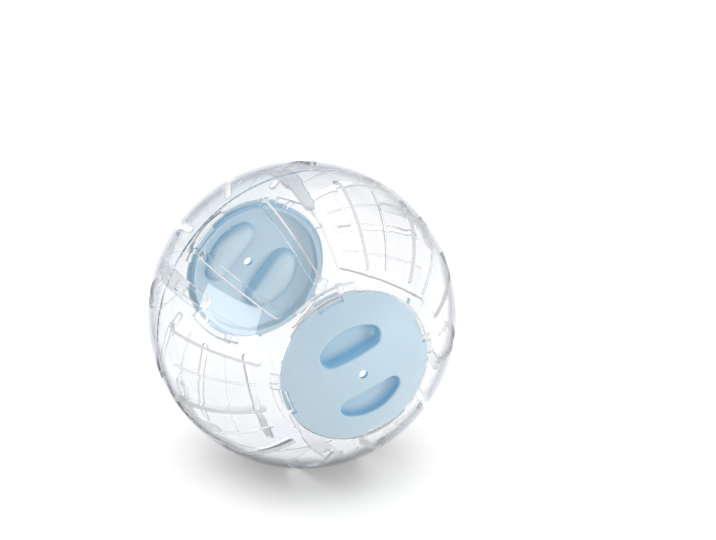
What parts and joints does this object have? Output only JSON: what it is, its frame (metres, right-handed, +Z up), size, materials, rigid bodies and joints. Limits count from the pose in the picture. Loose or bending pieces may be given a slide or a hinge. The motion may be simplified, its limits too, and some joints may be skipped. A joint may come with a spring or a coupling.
{
  "type": "hamster ball",
  "caption": "Clear hollow exercise ball for a small pet, with vent slits, snap-together half shells, and domed twist-lock doors that have finger recesses and a pivot hole.",
  "frame": {"origin": "centre of the ball, on the door axis and in the seam plane", "axes": "+Y along the door axis from the front door to the rear door, +Z up as the ball stands in the picture"},
  "size_m": [0.145, 0.1444, 0.145],
  "materials": {
    "clear_shell": "clear colourless polystyrene, polished",
    "blue_door": "light blue moulded plastic, satin"
  },
  "bodies": {
    "ball": {"front_shell": "clear_shell", "rear_shell": "clear_shell"},
    "front_door": {"front_door": "blue_door"},
    "rear_door": {"rear_door": "blue_door"}
  },
  "joints": [
    {"name": "front_door_twist", "type": "hinge", "parent": "ball", "child": "front_door", "pos_m": [0, -0.0628, 0], "axis": [0, -1, 0], "range_deg": [0, 45]},
    {"name": "rear_door_twist", "type": "hinge", "parent": "ball", "child": "rear_door", "pos_m": [0, 0.0628, 0], "axis": [0, 1, 0], "range_deg": [0, 45]}
  ]
}
